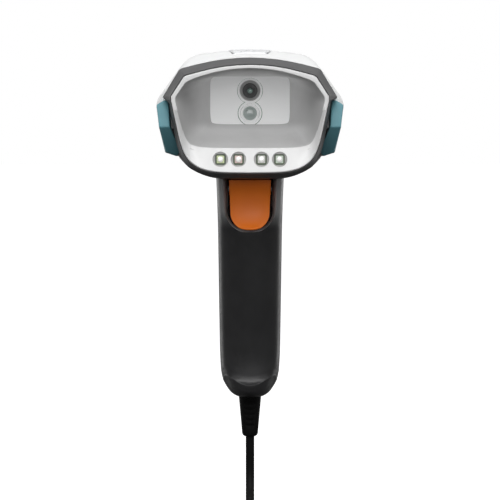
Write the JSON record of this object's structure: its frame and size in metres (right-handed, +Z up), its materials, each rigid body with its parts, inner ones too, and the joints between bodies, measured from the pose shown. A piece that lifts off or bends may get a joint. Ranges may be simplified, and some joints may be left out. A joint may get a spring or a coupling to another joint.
{
  "type": "handheld barcode reader",
  "caption": "Pistol-grip two-dimensional code reader with a lit nose cone, squeeze trigger and a fixed lead to a USB plug.",
  "frame": {"origin": "middle of the grip, on the grip's axis, where the hand closes round it", "axes": "+Z up along the upright reader, nose faces -Y, +X to the right seen from the front"},
  "size_m": [0.0978, 0.1165, 0.4036],
  "materials": {
    "white_shell": "fine satin texture",
    "dark_shell": "fine texture",
    "bezel_rubber": "satin",
    "gasket_rubber": "matt",
    "teal_rubber": "satin",
    "cone_white": "matt white",
    "diffuser": "frosted",
    "surround": "satin",
    "black_barrel": "matt black",
    "coated_glass": "coated",
    "aimer_glass": "coated",
    "dark_plastic": "moulded",
    "circuit_board": "solder mask",
    "chip": "epoxy",
    "led": "phosphor",
    "indicator": "frosted",
    "flex": "film",
    "screw_steel": "plated",
    "spring_steel": "drawn",
    "grip_plastic": "fine texture",
    "trigger_orange": "satin",
    "light_plastic": "moulded",
    "cord_black": "satin jacket",
    "relief_black": "matt",
    "tie_fabric": "woven loop tape",
    "usb_metal": "nickel"
  },
  "bodies": {
    "root": {"top_cover": "white_shell", "lower_housing": "dark_shell", "nose_bezel": "bezel_rubber", "bezel_gasket": "gasket_rubber", "bumper_left": "teal_rubber", "bumper_right": "teal_rubber", "light_cone": "cone_white", "diffuser_panel": "diffuser", "lens_surround": "surround", "camera_barrel": "black_barrel", "camera_lens": "coated_glass", "aimer_barrel": "surround", "aimer_window": "aimer_glass", "optics_block": "dark_plastic", "imager_board": "circuit_board", "image_sensor": "chip", "panel_light_board": "circuit_board", "panel_leds": "led", "nose_light_board": "circuit_board", "nose_leds": "led", "indicator_window": "indicator", "indicator_board": "circuit_board", "main_board": "circuit_board", "board_chips": "chip", "beeper": "dark_plastic", "imager_flex": "flex", "head_screws": "screw_steel", "grip_front": "grip_plastic", "grip_rear": "grip_plastic", "grip_screws": "screw_steel", "trigger_pin": "screw_steel", "trigger_spring": "spring_steel", "trigger_carrier": "dark_plastic", "trigger_switch": "dark_plastic", "switch_board": "circuit_board", "inner_lead": "cord_black", "lead_plug": "light_plastic", "cable_clamp": "dark_plastic", "strain_relief": "relief_black", "cord_drop": "cord_black", "cord_hank": "cord_black", "cord_tail": "cord_black", "cord_tie": "tie_fabric", "usb_overmould": "relief_black", "usb_shell": "usb_metal", "usb_tongue": "light_plastic"},
    "trigger": {"trigger": "trigger_orange"},
    "plunger": {"switch_plunger": "light_plastic"}
  },
  "joints": [
    {"name": "trigger_pull", "type": "hinge", "parent": "root", "child": "trigger", "pos_m": [0, -0.017, 0.0555], "axis": [1, 0, 0], "range_deg": [0, 7], "stiffness_Nm_per_rad": 1.2, "springref_deg": -2.86, "deforming": ["trigger_spring"]},
    {"name": "plunger_press", "type": "slide", "parent": "root", "child": "plunger", "axis": [0, 1, 0], "range_m": [0, 0.001]}
  ],
  "couplings": [
    {"joint": "plunger_press", "follows": "trigger_pull", "m_per_rad": 0.0075}
  ]
}
